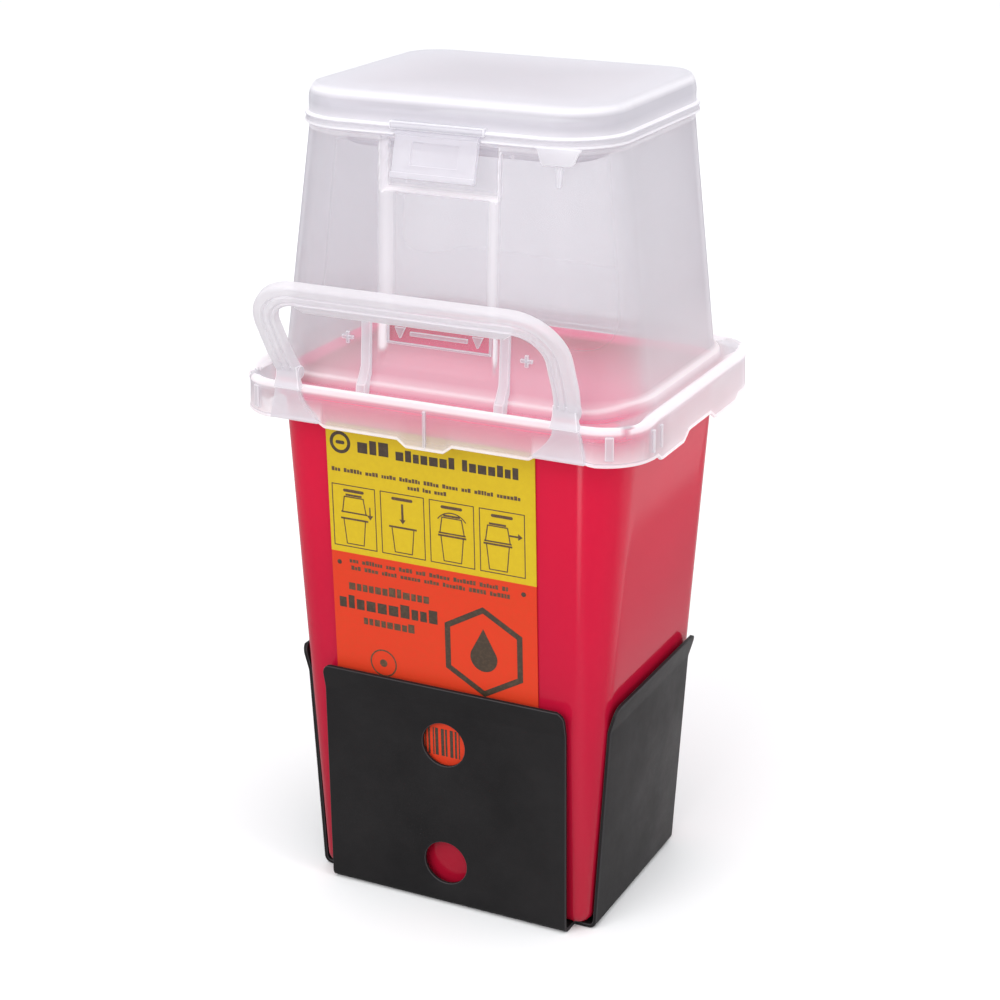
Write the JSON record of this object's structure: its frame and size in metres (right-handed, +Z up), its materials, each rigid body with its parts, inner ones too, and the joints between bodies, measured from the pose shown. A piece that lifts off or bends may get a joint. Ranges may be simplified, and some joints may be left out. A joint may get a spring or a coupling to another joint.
{
  "type": "sharps container with wall bracket",
  "caption": "Tapering red waste tub with a frosted domed lid, hinged top cap, front latch and carry handle, standing in a folded black sheet-metal bracket",
  "frame": {"origin": "centre of the bracket's base, on its underside", "axes": "+Z up, -Y towards the front with the label and handle, +X to the right of someone facing the front"},
  "size_m": [0.1624, 0.1468, 0.3161],
  "materials": {
    "black_powder_coat": "satin black powder coat on folded steel sheet",
    "red_plastic": "glossy crimson polypropylene",
    "label_film": "printed self-adhesive film, yellow over orange",
    "frosted_plastic": "frosted translucent polypropylene",
    "cap_plastic": "frosted translucent polypropylene",
    "latch_plastic": "frosted translucent polypropylene",
    "handle_plastic": "frosted translucent polypropylene"
  },
  "bodies": {
    "bracket": {"wall_bracket": "black_powder_coat"},
    "container": {"sharps_tub": "red_plastic", "front_label": "label_film"},
    "lid": {"dome_lid": "frosted_plastic"},
    "cap": {"top_cap": "cap_plastic"},
    "latch": {"cap_latch": "latch_plastic"},
    "handle": {"carry_handle": "handle_plastic"}
  },
  "joints": [
    {"name": "container_lift", "type": "slide", "parent": "bracket", "child": "container", "axis": [0, 0, 1], "range_m": [0, 0.11]},
    {"name": "lid_lift", "type": "slide", "parent": "container", "child": "lid", "axis": [0, 0, 1], "range_m": [0, 0.04]},
    {"name": "cap_hinge", "type": "hinge", "parent": "lid", "child": "cap", "pos_m": [0, 0.0612, 0.3035], "axis": [-1, 0, 0], "range_deg": [0, 180]},
    {"name": "latch_flex", "type": "hinge", "parent": "cap", "child": "latch", "pos_m": [0, -0.0492, 0.3024], "axis": [-1, 0, 0], "range_deg": [0, 35], "stiffness_Nm_per_rad": 0.02},
    {"name": "handle_swing", "type": "hinge", "parent": "lid", "child": "handle", "pos_m": [0, -0.0606, 0.2142], "axis": [1, 0, 0], "range_deg": [-30, 66], "stiffness_Nm_per_rad": 0.03}
  ]
}
